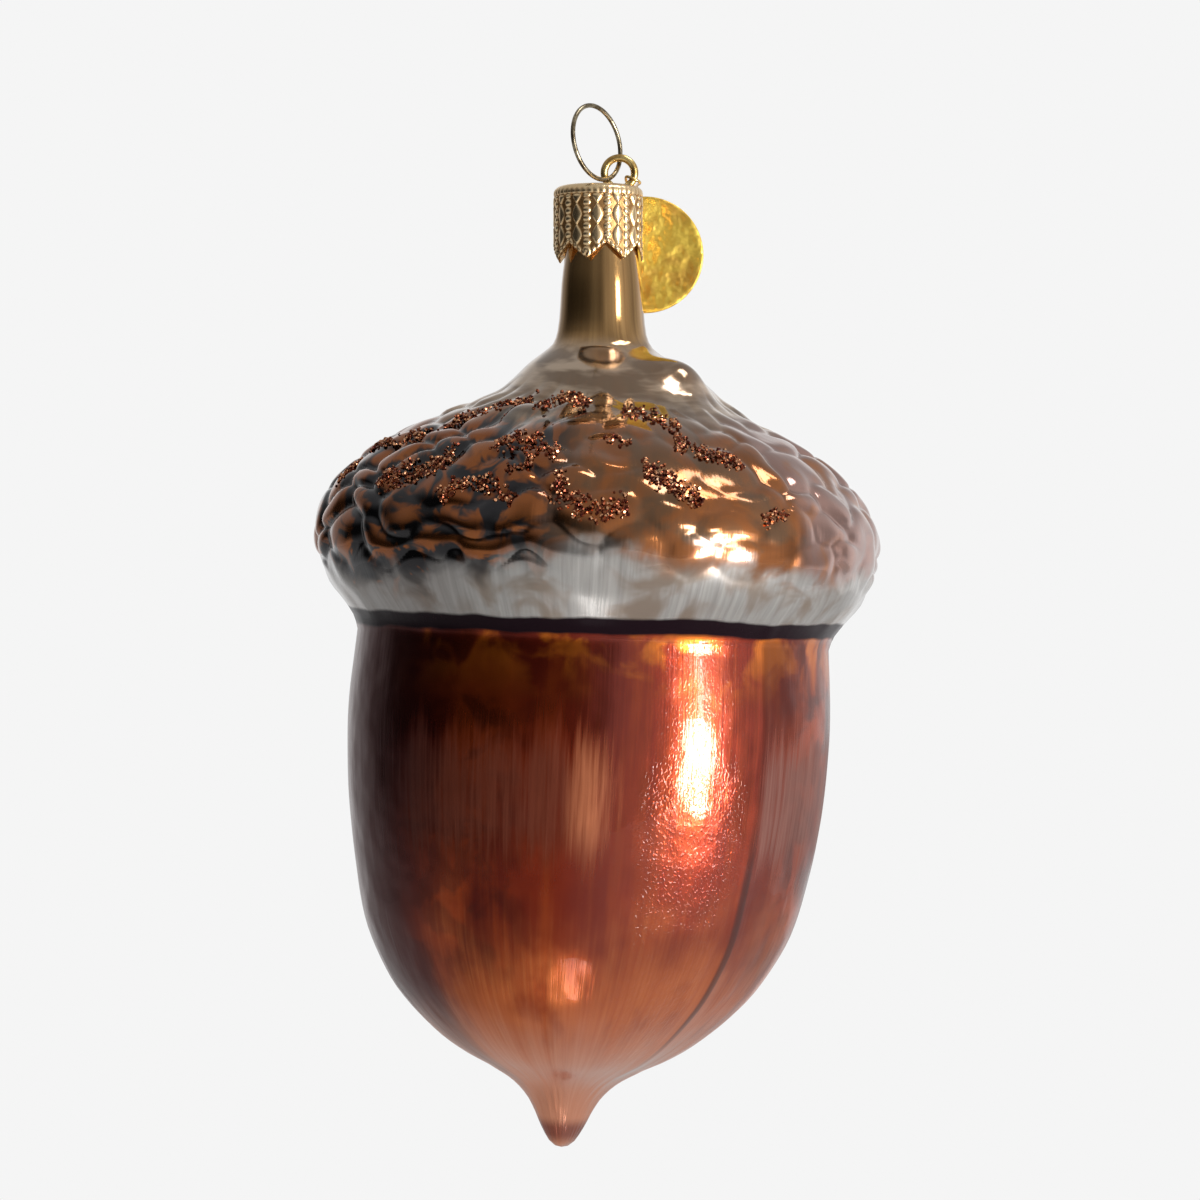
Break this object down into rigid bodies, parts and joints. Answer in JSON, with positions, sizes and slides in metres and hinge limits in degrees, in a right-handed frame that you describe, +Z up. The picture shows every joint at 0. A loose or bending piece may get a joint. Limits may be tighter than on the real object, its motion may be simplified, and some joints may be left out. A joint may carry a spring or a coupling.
{
  "type": "hanging glass acorn ornament",
  "caption": "Blown glass acorn that hangs from a wire eye in a stamped crown cap, with a loose thread ring and a round metal tag on a thin wire.",
  "frame": {"origin": "top of the hole in the wire eye, where the acorn hangs", "axes": "+Z up along the acorn, +X to the viewer's right, +Y to the back, so that the front faces -Y"},
  "size_m": [0.0667, 0.0662, 0.1225],
  "materials": {
    "lacquered_glass": "silvered inside and painted outside in brown, red and orange lacquer, glossy",
    "stamped_gold": "thin stamped metal with a rose-gold wash",
    "brass_wire": "bright drawn wire",
    "dull_wire": "tarnished drawn wire",
    "tag_gold": "thin stamped metal, polished yellow gold"
  },
  "bodies": {
    "ornament": {"glass": "lacquered_glass", "cap": "stamped_gold", "hanger": "brass_wire", "tag_wire": "brass_wire"},
    "thread_ring": {"ring": "dull_wire"},
    "tag_plate": {"tag": "tag_gold"}
  },
  "joints": [
    {"name": "ring_tilt", "type": "hinge", "parent": "ornament", "child": "thread_ring", "pos_m": [0, 0, -0.00133], "axis": [1, 0, 0], "range_deg": [-30, 0]},
    {"name": "tag_swing", "type": "hinge", "parent": "ornament", "child": "tag_plate", "pos_m": [0.00171, 0.00585, -0.00393], "axis": [1, 0, 0], "range_deg": [0, 60]}
  ]
}
